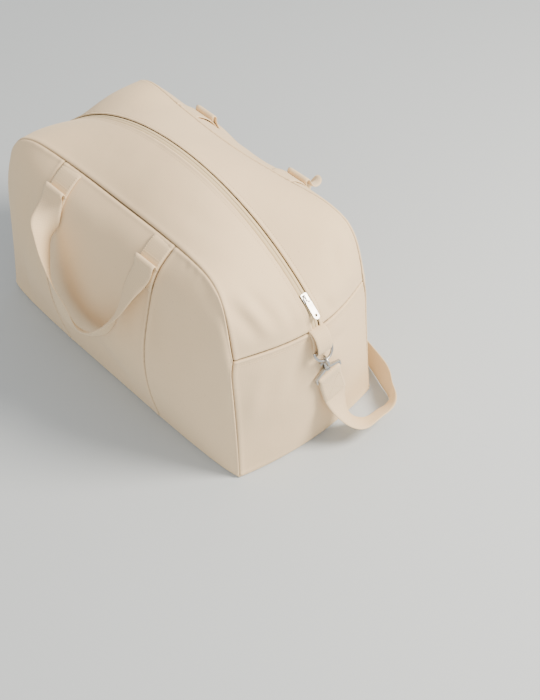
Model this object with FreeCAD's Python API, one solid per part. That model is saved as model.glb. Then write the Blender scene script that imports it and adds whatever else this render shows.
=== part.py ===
import FreeCAD, Part
import math
import os

# Soft duffel bag of cotton canvas: barrel body, domed zip top, two grab handles and a
# clip-on shoulder strap. Millimetres. X runs along the bag, -Y is the front, Z is up,
# and the origin is the middle of the bottom, on the surface that the bag stands on.

V = FreeCAD.Vector
X_AXIS, Y_AXIS, Z_AXIS = V(1, 0, 0), V(0, 1, 0), V(0, 0, 1)

# Driving dimensions
CANVAS = 1.8             # two layers of canvas in one panel
SEAM_GAP = 0.5           # room left between two panels at a seam
BULGE = 46.0             # how far a side panel swells out of its flat at mid-height
BAG_HALF_LENGTH = 252.0  # where that swelling has died away
FLOOR_THICK = 2.2        # bottom panel
ZIP_RADIUS = 376.0       # the zip runs on one arc over the top
ZIP_CENTRE = V(0, 0, -37.5)
ZIP_END = 46.0           # degrees from the apex to each end of the zip
TAPE_END = 44.4          # the tape and coils stop here, under the end seam
SLIDER_REST = 41.5       # degrees from the apex to the closed slider
LIP = 5.6                # half of the slot between the two top panels
LIP_HEIGHT = 1.0         # the panels' outside above the zip's middle line
WEBBING = 38.0           # handles and shoulder strap
WEB_THICK = 2.0
TAB_WEBBING = 25.0       # webbing that holds a D-ring
RING_WIRE = 1.8          # radius of the D-ring's wire
RING_RADIUS = 15.0       # radius of its round side
RING_PIVOT = V(285.5, 0, 181)
RING_TILT = 25.0         # the ring leans out from the end panel
CHAIN_TILT = 14.0        # the snap leans towards the strap's side
HOOK_YAW = 15.0
HANDLE_HALF_SPAN = 96.0
END_SEAM_X = 241.5       # the seam over each end panel, at the bag's corners
END_SEAM_HALF = 110.7    # and half of its span across the bag

# Half of the bag's seams, from the middle to the near end. Each station has the foot of
# the side panel (x, y), the point on the top seam (x, y, z) and the zip angle above it.
STATIONS = [
    ((0, 132), (0, 93, 298), 0),
    ((26, 132), (29, 93.2, 298.4), 4.5),
    ((52, 132), (58, 94, 299.5), 9),
    ((78, 132), (87, 95.3, 300.8), 13.5),
    ((103, 132), (116, 97, 302), 18),
    ((118, 131.8), (133, 98.4, 303), 20.8),
    ((133, 131.5), (150, 100, 303.5), 23.5),
    ((160, 131), (176, 102.5, 302.5), 28),
    ((186, 130), (196, 105, 297.5), 32),
    ((208, 129), (212, 108, 288), 35.5),
    ((226, 127.5), (223.5, 110.5, 272), 38.5),
    ((240, 126), (231, 112, 252), 41.5),
    ((251, 124), (237.5, 113, 226), 44),
    ((259, 122), (241.5, 113, 202), ZIP_END),
]
SEAM_STATION = 4         # the station where the centre panel meets the outer one
# Swelling of a side panel's section: height as a share of the panel, share of BULGE
SECTION = [(0, 0), (0.24, 0.6), (0.5, 0.93), (0.75, 0.88), (0.92, 0.58), (1, 0)]

os.makedirs("parts", exist_ok=True)


def save(name, shape):
    """Write one node, and say so if it isn't a sound solid."""
    if not shape.isValid() or shape.Volume <= 0:
        print("CHECK", name, shape.isValid(), shape.Volume)
    shape.exportStep("parts/" + name + ".step")
    return shape


def spline(points):
    curve = Part.BSplineCurve()
    curve.interpolate(points)
    return curve.toShape()


def thick_strip(points, inward, thick):
    """A closed outline: a smooth line through points and its copy moved inward."""
    inner = [p + inward * thick for p in points]
    edges = [
        spline(points),
        Part.makeLine(points[-1], inner[-1]),
        spline(inner[::-1]),
        Part.makeLine(inner[0], points[0]),
    ]
    return Part.Wire(edges)


def loft(wires):
    return Part.makeLoft(wires, True, True)


def mirrored_x(shape):
    return shape.mirror(V(0, 0, 0), X_AXIS)


def half_turned(shape):
    return shape.copy().rotated(V(0, 0, 0), Z_AXIS, 180)


# ---------------------------------------------------------------- body panels


def zip_point(angle, height=0.0, y=0.0):
    """A point on the zip's arc, height above its middle line."""
    a = math.radians(angle)
    r = ZIP_RADIUS + height
    return ZIP_CENTRE + V(r * math.sin(a), y, r * math.cos(a))


def swelling(x):
    return BULGE * max(0.0, 1 - (abs(x) / BAG_HALF_LENGTH) ** 3)


def side_section(station):
    """The side panel's outside line at one station, from its foot to the top seam."""
    (foot_x, foot_y), (top_x, top_y, top_z), _ = station
    foot = V(foot_x, -foot_y, FLOOR_THICK + 0.3)
    top = V(top_x, -top_y, top_z)
    points = []
    for height, share in SECTION:
        p = foot + (top - foot) * height
        points.append(p - Y_AXIS * swelling(p.x) * share)
    return points


def side_panel(first, last, shift_first=0.0, shift_last=0.0):
    """The side panel between two stations; its ends are moved along X to leave seams."""
    wires = []
    for k in range(first, last + 1):
        shift = shift_first if k == first else shift_last if k == last else 0.0
        points = [p + X_AXIS * shift for p in side_section(STATIONS[k])]
        wires.append(thick_strip(points, Y_AXIS, CANVAS))
    return loft(wires)


def centre_panel():
    half = range(SEAM_STATION, -1, -1)
    wires = []
    for sign, order in ((-1, half), (1, range(1, SEAM_STATION + 1))):
        for k in order:
            shift = SEAM_GAP / 2 if k == SEAM_STATION else 0.0
            section = side_section(STATIONS[k])
            points = [V(sign * (p.x - shift), p.y, p.z) for p in section]
            wires.append(thick_strip(points, Y_AXIS, CANVAS))
    return loft(wires)


def gusset_half_width(top_y):
    """Top and end panels sit inside the side panels' thickness."""
    return top_y - CANVAS - SEAM_GAP


def top_section(station, lean):
    """The top panel's outside line at one station, from the side seam to the zip."""
    _, (top_x, top_y, top_z), angle = station
    seam = V(top_x, -gusset_half_width(top_y), top_z + SEAM_GAP)
    lip = zip_point(angle, LIP_HEIGHT, -LIP)
    out = V(math.sin(math.radians(lean)), 0, math.cos(math.radians(lean)))
    crown = 5.0
    points = [seam + (lip - seam) * share for share in (0, 0.3, 0.65, 1)]
    points[1] += out * crown
    points[2] += out * crown
    return points, out * -1


def top_panel():
    """One panel beside the zip, the whole length of the bag."""
    half = []
    for k, station in enumerate(STATIONS):
        half.append(top_section(station, station[2] * 1.3))
    end_seam = [V(end_seam_x(y), y, end_seam_z(y) + 0.7) for y in (-END_SEAM_HALF, -72, -38, -LIP)]
    half[-1] = (end_seam, V(-1, 0, 0))
    wires = []
    for points, inward in half[::-1]:
        turned = [V(-p.x, p.y, p.z) for p in points]
        wires.append(thick_strip(turned, V(-inward.x, 0, inward.z), CANVAS))
    for points, inward in half[1:]:
        wires.append(thick_strip(points, inward, CANVAS))
    return loft(wires)


def end_seam_x(y):
    """The seam between the top panels and the end panel swells outwards."""
    return END_SEAM_X + 31 * (1 - (abs(y) / END_SEAM_HALF) ** 1.6)


def end_seam_z(y):
    return 201.6 + 6.6 * (1 - abs(y) / END_SEAM_HALF)


def end_panel():
    """The panel below the end seam, swollen outwards, on the +X end."""
    wires = []
    steps = 8
    foot_y = gusset_half_width(122)
    for k in range(steps + 1):
        v = 2 * k / steps - 1
        round_off = 1 - v * v
        foot = V(259 + 15 * round_off, v * foot_y, FLOOR_THICK + 0.3)
        seam_y = v * END_SEAM_HALF
        top = V(end_seam_x(seam_y), seam_y, end_seam_z(seam_y))
        low = foot + (top - foot) * 0.3 + X_AXIS * 7 * round_off
        high = foot + (top - foot) * 0.68 + X_AXIS * 8 * round_off
        wires.append(thick_strip([foot, low, high, top], X_AXIS * -1, CANVAS))
    return loft(wires)


def bottom_panel():
    """The flat bottom, with slightly rounded ends."""
    corner = V(259, -123, 0)
    nose = V(274, 0, 0)
    right = Part.Arc(corner, nose, V(259, 123, 0)).toShape()
    left = Part.Arc(V(-259, 123, 0), V(-274, 0, 0), V(-259, -123, 0)).toShape()
    back = Part.Arc(V(259, 123, 0), V(0, 132, 0), V(-259, 123, 0)).toShape()
    front = Part.Arc(V(-259, -123, 0), V(0, -132, 0), corner).toShape()
    face = Part.Face(Part.Wire([right, back, left, front]))
    return face.extrude(Z_AXIS * FLOOR_THICK)


# ---------------------------------------------------------------- zip


def along_zip(outline, start=-TAPE_END, end=TAPE_END):
    """A strip of the zip: an outline of (y, height) turned along the zip's arc."""
    points = [zip_point(start, height, y) for y, height in outline]
    face = Part.Face(Part.makePolygon(points + points[:1]))
    return face.revolve(ZIP_CENTRE, Y_AXIS, end - start)


def zip_strip(y_low, y_high, low, high, start=-TAPE_END, end=TAPE_END):
    return along_zip([(y_low, low), (y_high, low), (y_high, high), (y_low, high)], start, end)


def zip_tape():
    """Woven tape: flat under the coil, then sloping down under the top panel."""
    return along_zip([(-0.3, -1.4), (-5.2, -1.4), (-13, -4.4), (-13, -5.1), (-5.0, -2.1),
                      (-0.3, -2.1)])


def box(x0, x1, y0, y1, z0, z1):
    return Part.makeBox(x1 - x0, y1 - y0, z1 - z0, V(x0, y0, z0))


def on_zip(shape, angle):
    """Move a shape made at the apex, with the arc's middle line at z = 0, to an angle."""
    shape = shape.copy()
    shape.translate(zip_point(0))
    return shape.rotated(ZIP_CENTRE, Y_AXIS, angle)


def slider_body():
    """Top wing with its two flanges over the coil, and the bridge for the pull."""
    wing = box(-6.5, 6.5, -4.9, 4.9, 1.6, 3.0)
    upright = [e for e in wing.Edges if abs(e.tangentAt(e.FirstParameter).z) > 0.9]
    wing = wing.makeFillet(2.0, upright)
    flanges = box(-5, 5, -4.9, -3.6, -0.9, 1.8).fuse(box(-5, 5, 3.6, 4.9, -0.9, 1.8))
    bridge = box(-4.5, 4.5, -1.4, 1.4, 2.9, 7.0)
    bridge = bridge.cut(box(-3.0, 3.0, -2, 2, 3.0, 5.7))
    return wing.fuse(flanges).fuse(bridge).removeSplitter()


PULL_PIVOT_HEIGHT = 4.3


def pull_tab():
    """The pull: a bar through the bridge, two arms and a plate with a hole."""
    z0, z1 = PULL_PIVOT_HEIGHT - 0.7, PULL_PIVOT_HEIGHT + 0.7
    bar = Part.makeCylinder(0.7, 7.4, V(0, -3.7, PULL_PIVOT_HEIGHT), Y_AXIS)
    arms = box(-0.7, 7, -3.7, -1.9, z0, z1).fuse(box(-0.7, 7, 1.9, 3.7, z0, z1))
    plate = box(6.5, 26, -4.3, 4.3, z0, z1)
    tip = Part.makeCylinder(4.3, z1 - z0, V(26, 0, z0))
    hole = Part.makeCylinder(1.9, 4, V(25, 0, z0 - 1))
    return bar.fuse(arms).fuse(plate).fuse(tip).cut(hole).removeSplitter()


# ---------------------------------------------------------------- webbing


def rounded_route(points, arc_steps=4):
    """Places along straight runs joined by tangent arcs, each with its share of a run."""
    places = [(points[0], 0.0)]
    radii = []
    for k in range(1, len(points) - 1):
        before, here, after = points[k - 1], points[k], points[k + 1]
        run = 0.45 * min((here - before).Length, (after - here).Length)
        a, b = (before - here).normalize(), (after - here).normalize()
        start, end = here + a * run, here + b * run
        turn = math.pi - a.getAngle(b)
        radius = run / math.tan(turn / 2)
        radii.append(round(radius))
        middle = (a + b).normalize()
        centre = here + middle * math.hypot(run, radius)
        arc = Part.Arc(start, centre - middle * radius, end)
        for step in range(arc_steps + 1):
            u = arc.FirstParameter + (arc.LastParameter - arc.FirstParameter) * step / arc_steps
            places.append((arc.value(u), k - 0.45 + 0.9 * step / arc_steps))
    places.append((points[-1], len(points) - 1.0))
    return places, radii


def ribbon(name, route, width, thick):
    """Flat webbing along a route of (point, direction its face looks)."""
    points = [V(*p) for p, _ in route]
    faces = [V(*f).normalize() for _, f in route]
    places, radii = rounded_route(points)
    wires = []
    length = 0.0
    for k, (here, at) in enumerate(places):
        low = min(int(at), len(faces) - 2)
        face = faces[low] * (1 - at + low) + faces[low + 1] * (at - low)
        tangent = places[min(k + 1, len(places) - 1)][0] - places[max(k - 1, 0)][0]
        tangent.normalize()
        across = face.cross(tangent).normalize() * (width / 2)
        up = tangent.cross(across).normalize() * (thick / 2)
        corners = [across + up, across * -1 + up, across * -1 - up, across - up, across + up]
        wires.append(Part.makePolygon([here + c for c in corners]))
        if k:
            length += (here - places[k - 1][0]).Length
    solid = loft(wires)
    print(name, "length", round(length), "radii", radii,
          "volume ratio", round(solid.Volume / (length * width * thick), 3))
    return solid


def two_circle_outline(p, r, q, s, y):
    """The tight outline round two circles (centre, radius) in a plane of constant y."""
    axis = (q - p)
    gap = axis.Length
    axis.normalize()
    side = axis.cross(Y_AXIS)
    lean = math.asin((r - s) / gap)
    edges = []
    normals = [side * m * math.cos(lean) + axis * math.sin(lean) for m in (1, -1)]
    shift = Y_AXIS * y
    a1, a2 = p + normals[0] * r + shift, p + normals[1] * r + shift
    b1, b2 = q + normals[0] * s + shift, q + normals[1] * s + shift
    edges.append(Part.Arc(a1, p - axis * r + shift, a2).toShape())
    edges.append(Part.makeLine(a2, b2))
    edges.append(Part.Arc(b2, q + axis * s + shift, b1).toShape())
    edges.append(Part.makeLine(b1, a1))
    return Part.Wire(edges)


def folded_loop(fold, hole, tail, layer, width):
    """Webbing folded round a bar: hole is the fold's inner radius, tail its sewn end."""
    outer = two_circle_outline(fold, hole + layer, tail, layer + 0.15, -width / 2)
    inner_tail = tail + (fold - tail).normalize() * 4
    inner = two_circle_outline(fold, hole, inner_tail, 0.15, -width / 2)
    solid = Part.Face(outer).extrude(Y_AXIS * width)
    return solid.cut(Part.Face(inner).extrude(Y_AXIS * width))


def patch_on_front(x0, x1, z0, z1, thick, clear):
    """A strip of webbing lying on the front centre panel."""
    wires = []
    for x in (x0, x1):
        points = []
        for step in range(4):
            z = z0 + (z1 - z0) * step / 3
            points.append(V(x, front_y(x, z) - clear - thick, z))
        wires.append(thick_strip(points, Y_AXIS, thick))
    return loft(wires)


def front_y(x, z):
    """The front centre panel's outside at x and height z."""
    share = abs(x) / 116.0
    foot, top = V(0, -132, FLOOR_THICK + 0.3), V(0, -93 - 4 * share, 298 + 4 * share)
    points = []
    for height, part in SECTION:
        p = foot + (top - foot) * height
        points.append(V(0, p.y - swelling(x) * part, p.z))
    curve = Part.BSplineCurve()
    curve.interpolate(points)
    low, high = curve.FirstParameter, curve.LastParameter
    for _ in range(40):
        middle = (low + high) / 2
        if curve.value(middle).z < z:
            low = middle
        else:
            high = middle
    return curve.value(low).y


# ---------------------------------------------------------------- snap hook


def d_ring():
    """Straight bar along Y with a half-round below it, before it leans out."""
    bar = Part.makeCylinder(RING_WIRE, 2 * RING_RADIUS, V(0, -RING_RADIUS, 0), Y_AXIS)
    bow = Part.makeTorus(RING_RADIUS, RING_WIRE, V(0, 0, 0), X_AXIS)
    bow = bow.common(box(-5, 5, -25, 25, -25, 0))
    ring = bar.fuse(bow)
    for y in (-RING_RADIUS, RING_RADIUS):
        ring = ring.fuse(Part.makeSphere(RING_WIRE, V(0, y, 0)))
    return ring.removeSplitter()


BARREL_RADIUS, BARREL_TOP = 4.3, 13.0
BOLT_RADIUS = 1.6
EYE = V(5.5, 0, 19)      # middle of the hook's eye, from the barrel's foot
EYE_RADIUS, HOOK_WIRE = 6.7, 1.7
BASE_BAR = -16.0         # the strap's bar, below the barrel's foot


def hook_body():
    """Barrel with a bore and a thumb slot, and the hook that grows out of its rim."""
    barrel = Part.makeCylinder(BARREL_RADIUS, BARREL_TOP, V(0, 0, 0))
    barrel = barrel.cut(Part.makeCylinder(BOLT_RADIUS + 0.3, 20, V(0, 0, 1)))
    barrel = barrel.cut(box(-1.9, 1.9, -9, 0, 1.2, 12.3))
    profile_at = EYE + V(EYE_RADIUS, 0, 0)
    profile = Part.makeCircle(HOOK_WIRE, profile_at, Z_AXIS)
    disc = Part.Face(Part.Wire([profile]))
    start, end = -112, 140
    disc.rotate(EYE, Y_AXIS, -start)
    bow = disc.revolve(EYE, Y_AXIS * -1, end - start)
    stud = Part.makeCylinder(2.0, 5.0, V(0, 0, -4.6))
    head = Part.makeCylinder(3.2, 1.4, V(0, 0, -6.0))
    shape = barrel.fuse(bow).fuse(stud).fuse(head)
    return shape.cut(Part.makeCylinder(BOLT_RADIUS + 0.3, 21, V(0, 0, 1))).removeSplitter()


def hook_bolt():
    """The sprung bolt that shuts the eye, with its thumb knob."""
    bolt = Part.makeCylinder(BOLT_RADIUS, 11.4, V(0, 0, 9.2))
    knob = Part.makeCylinder(1.5, 6.5, V(0, 0, 10.8), Y_AXIS * -1)
    cap = Part.makeCylinder(2.3, 1.6, V(0, -6.2, 10.8), Y_AXIS * -1)
    return bolt.fuse(knob).fuse(cap).removeSplitter()


def hook_spring():
    coil = Part.makeCylinder(1.5, 7.6, V(0, 0, 1.3))
    return coil.cut(Part.makeCylinder(0.9, 9, V(0, 0, 1)))


def hook_base():
    """The loop that carries the strap: a collar round the stud and a wide frame."""
    half = WEBBING / 2
    outer = [(-5, -0.4), (5, -0.4), (half + 3, BASE_BAR + 7.2), (half + 3, BASE_BAR - 1.6),
             (-half - 3, BASE_BAR - 1.6), (-half - 3, BASE_BAR + 7.2)]
    slot = half + 0.3
    inner = [(-4.6, -5.8), (4.6, -5.8), (slot, BASE_BAR + 5.2), (slot, BASE_BAR + 1.6),
             (-slot, BASE_BAR + 1.6), (-slot, BASE_BAR + 5.2)]
    plates = []
    for outline in (outer, inner):
        points = [V(-1.7, y, z) for y, z in outline]
        face = Part.Face(Part.makePolygon(points + points[:1]))
        plates.append(face.extrude(X_AXIS * 3.4))
    frame = plates[0].cut(plates[1])
    collar = Part.makeCylinder(4.6, 3.4, V(0, 0, -4.2))
    frame = frame.fuse(collar).cut(Part.makeCylinder(2.4, 9, V(0, 0, -7)))
    frame = frame.cut(box(-5, 5, -3.6, 3.6, -9, -4.3))
    return frame.removeSplitter()


def ring_wire_point():
    """Middle of the ring's wire at its lowest place, at rest."""
    a = math.radians(RING_TILT)
    return RING_PIVOT + V(RING_RADIUS * math.sin(a), 0, -RING_RADIUS * math.cos(a))


def hung(shape, yaw):
    """Move a piece of the snap from its own frame to where it hangs on the ring."""
    shape = shape.copy()
    turn = shape.rotated(V(0, 0, 0), Z_AXIS, yaw)
    grip = V(EYE.x * math.cos(math.radians(HOOK_YAW)),
             -EYE.x * math.sin(math.radians(HOOK_YAW)),
             EYE.z + EYE_RADIUS - HOOK_WIRE - RING_WIRE - 0.4)
    turn.translate(grip * -1)
    turn = turn.rotated(V(0, 0, 0), X_AXIS, CHAIN_TILT)
    turn.translate(ring_wire_point())
    return turn


def hung_point(p):
    return hung(Part.Vertex(p), 0).Point


# ---------------------------------------------------------------- routes

# Front handle: (point, direction that its outer face looks), right fold to left fold
HANDLE_ROUTE = [
    ((HANDLE_HALF_SPAN, -130.0, 281), (0, -1, 0.35)),
    ((88, -149, 247), (-0.3, -0.81, 0.5)),
    ((80, -164, 215), (-0.6, -0.64, 0.48)),
    ((62, -176, 177), (-0.81, -0.01, 0.59)),
    ((22, -179, 136), (-0.45, 0.64, 0.62)),
    ((-13, -181, 129), (0, 0.97, 0.25)),
    ((-36, -181, 142), (0.08, 1, 0.03)),
    ((-52, -180, 164), (0.29, 0.95, 0.04)),
    ((-64, -177, 200), (0.69, 0.72, 0.05)),
    ((-79, -168, 232), (0.87, -0.15, 0.2)),
    ((-91, -149, 257), (0.15, -1, 0.35)),
    ((-HANDLE_HALF_SPAN, -130.0, 281), (0, -1, 0.35)),
]
STRAP_START = hung_point(V(0, 0, BASE_BAR - 41.5))
# Shoulder strap, near half: out past the far corner, then on edge behind the bag
STRAP_ROUTE = [
    ((STRAP_START.x + 2.2, STRAP_START.y, STRAP_START.z), (1, 0, 0.05)),
    ((296, 27, 60), (1, -0.1, 0.05)),
    ((308, 44, 27), (0.97, -0.1, -0.1)),
    ((313, 74, 19), (0.93, 0.05, -0.36)),
    ((312, 103, 19.6), (0.99, 0.1, 0.1)),
    ((298, 127, 19.8), (0.8, 0.6, 0.05)),
    ((268, 143, 19.8), (0.3, 1, 0)),
    ((225, 156, 19.8), (0, 1, 0)),
    ((165, 170, 20), (0, 1, 0)),
    ((105, 168, 20.6), (0, 1, 0)),
    ((55, 176, 21.4), (0, 1, 0)),
    ((18, 172, 22), (0, 1, 0)),
]


def adjuster():
    """Three-bar strap buckle standing on edge where the two halves meet."""
    y = 172.0
    low, high, rail = 0.6, 43.6, 1.8
    frame = box(-17, 17, y - 1.3, y + 1.3, low, high)
    frame = frame.cut(box(-14, 14, y - 3, y + 3, low + rail, high - rail))
    bar = Part.makeCylinder(1.9, high - low - 0.4, V(0, y, low + 0.2))
    return frame.fuse(bar).removeSplitter()


# ---------------------------------------------------------------- nodes


def write_body():
    centre = centre_panel()
    right = side_panel(SEAM_STATION, len(STATIONS) - 1, SEAM_GAP / 2, 0.0)
    save("front_centre_panel", centre)
    save("front_right_panel", right)
    save("front_left_panel", mirrored_x(right))
    save("back_centre_panel", half_turned(centre))
    save("back_left_panel", half_turned(right))
    save("back_right_panel", half_turned(mirrored_x(right)))
    top = top_panel()
    save("top_front_panel", top)
    save("top_back_panel", half_turned(top))
    end = end_panel()
    save("right_end_panel", end)
    save("left_end_panel", half_turned(end))
    save("bottom_panel", bottom_panel())


def write_zip():
    tape = zip_tape()
    coil = zip_strip(-3.1, -0.1, -1.2, 1.2)
    save("zip_tape_front", tape)
    save("zip_tape_back", half_turned(tape))
    save("zip_coil_front", coil)
    save("zip_coil_back", half_turned(coil))
    stop_at, stop_length = TAPE_END - 0.8, 0.5
    top_stop = zip_strip(-3.2, -0.4, 1.4, 2.6, stop_at - stop_length, stop_at)
    save("zip_top_stops", Part.makeCompound([top_stop, top_stop.mirror(V(0, 0, 0), Y_AXIS)]))
    bottom_stop = zip_strip(-3.2, 3.2, 1.4, 2.8, -stop_at, stop_length - stop_at)
    save("zip_bottom_stop", bottom_stop)
    save("zip_slider", on_zip(slider_body(), SLIDER_REST))
    save("zip_pull", on_zip(pull_tab(), SLIDER_REST))


def write_handles():
    half = WEBBING / 2
    loop = ribbon("handle", HANDLE_ROUTE, WEBBING, WEB_THICK)
    save("front_handle", loop)
    save("back_handle", half_turned(loop))
    for name, middle in (("right", HANDLE_HALF_SPAN), ("left", -HANDLE_HALF_SPAN)):
        tab = patch_on_front(middle - half, middle + half, 248, 297, 1.6, 0.35)
        save("front_handle_tab_" + name, tab)
        other = "left" if name == "right" else "right"
        save("back_handle_tab_" + other, half_turned(tab))


def write_ends():
    tab = folded_loop(RING_PIVOT, RING_WIRE + 0.4, V(275.6, 0, 210.5), 1.3, TAB_WEBBING)
    ring = d_ring().rotated(V(0, 0, 0), Y_AXIS, -RING_TILT)
    ring.translate(RING_PIVOT)
    sewn = folded_loop(V(0, 0, BASE_BAR), 2.4, V(2.2, 0, BASE_BAR - 38), 1.7, WEBBING - 0.6)
    pieces = {
        "ring_tab": tab,
        "d_ring": ring,
        "hook_base": hung(hook_base(), 0),
        "hook_body": hung(hook_body(), -HOOK_YAW),
        "hook_bolt": hung(hook_bolt(), -HOOK_YAW),
        "hook_spring": hung(hook_spring(), -HOOK_YAW),
        "strap_end": hung(sewn, 0),
        "shoulder_strap": ribbon("strap half", STRAP_ROUTE, WEBBING, WEB_THICK),
    }
    for name, shape in pieces.items():
        save(name + "_right", shape)
        save(name + "_left", mirrored_x(shape))
    save("strap_adjuster", adjuster())
    for name, height in (("hook foot", 0), ("hook top", 10), ("strap bar", BASE_BAR)):
        print(name, [round(c, 2) for c in hung_point(V(0, 0, height))])


write_body()
write_zip()
write_handles()
write_ends()
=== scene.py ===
"""Canvas duffel bag: looks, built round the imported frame. Lengths are in millimetres and
turn to metres when a mesh is made. X runs along the bag, -Y is its front, Z is up."""

import math

import bpy
import numpy as np
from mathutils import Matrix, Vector, noise


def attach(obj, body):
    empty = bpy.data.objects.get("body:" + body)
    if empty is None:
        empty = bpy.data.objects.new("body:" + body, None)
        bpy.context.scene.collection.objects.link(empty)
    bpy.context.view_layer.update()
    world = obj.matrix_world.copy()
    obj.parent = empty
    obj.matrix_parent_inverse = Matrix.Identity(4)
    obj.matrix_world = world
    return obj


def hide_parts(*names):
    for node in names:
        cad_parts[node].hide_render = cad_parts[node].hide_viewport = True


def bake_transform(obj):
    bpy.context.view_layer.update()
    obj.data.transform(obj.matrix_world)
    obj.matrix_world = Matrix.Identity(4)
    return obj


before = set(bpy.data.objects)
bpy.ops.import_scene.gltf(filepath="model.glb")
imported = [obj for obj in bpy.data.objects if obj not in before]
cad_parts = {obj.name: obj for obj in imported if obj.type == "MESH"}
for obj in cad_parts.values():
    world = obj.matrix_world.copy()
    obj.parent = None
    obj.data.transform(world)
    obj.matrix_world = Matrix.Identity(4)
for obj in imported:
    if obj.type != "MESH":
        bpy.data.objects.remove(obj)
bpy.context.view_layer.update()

MM = 0.001

# ---------------------------------------------------------------- the bag's seams

BULGE = 46.0
BAG_HALF_LENGTH = 252.0
FLOOR_THICK = 2.2
ZIP_RADIUS = 376.0
ZIP_CENTRE_Z = -37.5
ZIP_END = 46.0
LIP = 5.6
WEBBING = 38.0
TAB_WEBBING = 25.0
CANVAS_THICK = 1.5
WEB_THICK = 1.9
END_SEAM_X, END_SEAM_HALF = 241.5, 110.7
END_SEAM_BOW = 31  # how far the end seam swells out at its middle
END_SEAM_Z, END_SEAM_RISE = 201.6, 6.6
END_FOOT_X, END_FOOT_HALF, END_FOOT_BOW = 259, 121.6, 15
PANEL_FOOT_Z = FLOOR_THICK + 0.3
TOP_CROWN = 5  # how far a top panel stands above the straight line from seam to zip
HANDLE_HALF_SPAN = 96.0

# foot of the side panel (x, y), top seam (x, y, z), zip angle above it, middle to end
STATIONS = [
    (0, 132, 0, 93, 298, 0),
    (26, 132, 29, 93.2, 298.4, 4.5),
    (52, 132, 58, 94, 299.5, 9),
    (78, 132, 87, 95.3, 300.8, 13.5),
    (103, 132, 116, 97, 302, 18),
    (118, 131.8, 133, 98.4, 303, 20.8),
    (133, 131.5, 150, 100, 303.5, 23.5),
    (160, 131, 176, 102.5, 302.5, 28),
    (186, 130, 196, 105, 297.5, 32),
    (208, 129, 212, 108, 288, 35.5),
    (226, 127.5, 223.5, 110.5, 272, 38.5),
    (240, 126, 231, 112, 252, 41.5),
    (251, 124, 237.5, 113, 226, 44),
    (END_FOOT_X, 122, END_SEAM_X, 113, 202, ZIP_END),
]
SEAM_STATION = 4
SECTION = [(0, 0), (0.24, 0.6), (0.5, 0.93), (0.75, 0.88), (0.92, 0.58), (1, 0)]


# ---------------------------------------------------------------- curves and lofts


def smooth_line(points, places, knots=None):
    """Natural cubic through points, read at places from 0 to 1 of its length."""
    points = np.asarray(points, float)
    if knots is None:
        steps = np.linalg.norm(np.diff(points, axis=0), axis=1)
        knots = np.concatenate([[0], np.cumsum(steps)]) / steps.sum()
    gaps = np.diff(knots)
    count = len(points)
    matrix = np.eye(count)
    right = np.zeros_like(points)
    for k in range(1, count - 1):
        matrix[k, k - 1:k + 2] = gaps[k - 1], 2 * (gaps[k - 1] + gaps[k]), gaps[k]
        right[k] = 6 * ((points[k + 1] - points[k]) / gaps[k]
                        - (points[k] - points[k - 1]) / gaps[k - 1])
    bend = np.linalg.solve(matrix, right)
    places = np.asarray(places, float)
    k = np.clip(np.searchsorted(knots, places, side="right") - 1, 0, count - 2)
    h = gaps[k][:, None]
    a = (knots[k + 1] - places)[:, None] / h
    b = 1 - a
    bow = ((a ** 3 - a) * bend[k] + (b ** 3 - b) * bend[k + 1]) * h * h / 6
    return a * points[k] + b * points[k + 1] + bow


class Loft:
    """A smooth surface through sections: u runs from section to section, v along them."""

    def __init__(self, sections):
        fine = np.linspace(0, 1, 25)
        self.rows = np.array([smooth_line(s, fine) for s in sections])
        steps = np.linalg.norm(np.diff(self.rows, axis=0), axis=2).mean(axis=1)
        self.knots = np.concatenate([[0], np.cumsum(steps)]) / steps.sum()
        self.length = steps.sum()
        self.height = np.linalg.norm(np.diff(self.rows, axis=1), axis=2).sum(axis=1).max()

    def read(self, us, vs):
        count = len(self.rows)
        across = smooth_line(self.rows.reshape(count, -1), us, self.knots).reshape(len(us), -1, 3)
        return np.array([smooth_line(row, vs) for row in across])


PANEL_STEP = 4.5
SEAM_ROWS = (0, 0.5, 1.0, 1.5, 2.1, 2.8, 3.7, 4.8, 6.2, 8, 10.5)  # distances from a seam


def graded(length):
    """Shares of a length, about PANEL_STEP apart, with fine rows beside the seam at either end."""
    low = list(SEAM_ROWS)
    high = [length - row for row in SEAM_ROWS][::-1]
    middle = np.linspace(low[-1], high[0], max(2, round((high[0] - low[-1]) / PANEL_STEP) + 1))
    return np.array(low[:-1] + list(middle) + high[1:]) / length


def surface_normals(grid):
    du = np.gradient(grid, axis=0)
    dv = np.gradient(grid, axis=1)
    normal = np.cross(du, dv)
    return normal / np.maximum(np.linalg.norm(normal, axis=2, keepdims=True), 1e-9)


def half_turned(points):
    return np.asarray(points, float) * (-1, -1, 1)


# ---------------------------------------------------------------- panel shapes


def swelling(x):
    return BULGE * max(0.0, 1 - (abs(x) / BAG_HALF_LENGTH) ** 3)


def zip_point(angle, height=0.0, y=0.0):
    a = math.radians(angle)
    r = ZIP_RADIUS + height
    return (r * math.sin(a), y, ZIP_CENTRE_Z + r * math.cos(a))


def side_section(station, sign):
    foot_x, foot_y, top_x, top_y, top_z, _ = station
    foot = np.array([sign * foot_x, -foot_y, PANEL_FOOT_Z])
    top = np.array([sign * top_x, -top_y, top_z])
    points = []
    for height, share in SECTION:
        p = foot + (top - foot) * height
        p[1] -= swelling(p[0]) * share
        points.append(p)
    return points


def both_ways(make):
    """Sections from the -X end to the +X end."""
    left = [make(s, -1) for s in STATIONS[:0:-1]]
    return left + [make(s, 1) for s in STATIONS]


def end_seam(y):
    """X and Z of the seam between the top panels and the end panel, at that y."""
    share = abs(y) / END_SEAM_HALF
    return END_SEAM_X + END_SEAM_BOW * (1 - share ** 1.6), END_SEAM_Z + END_SEAM_RISE * (1 - share)


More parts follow.
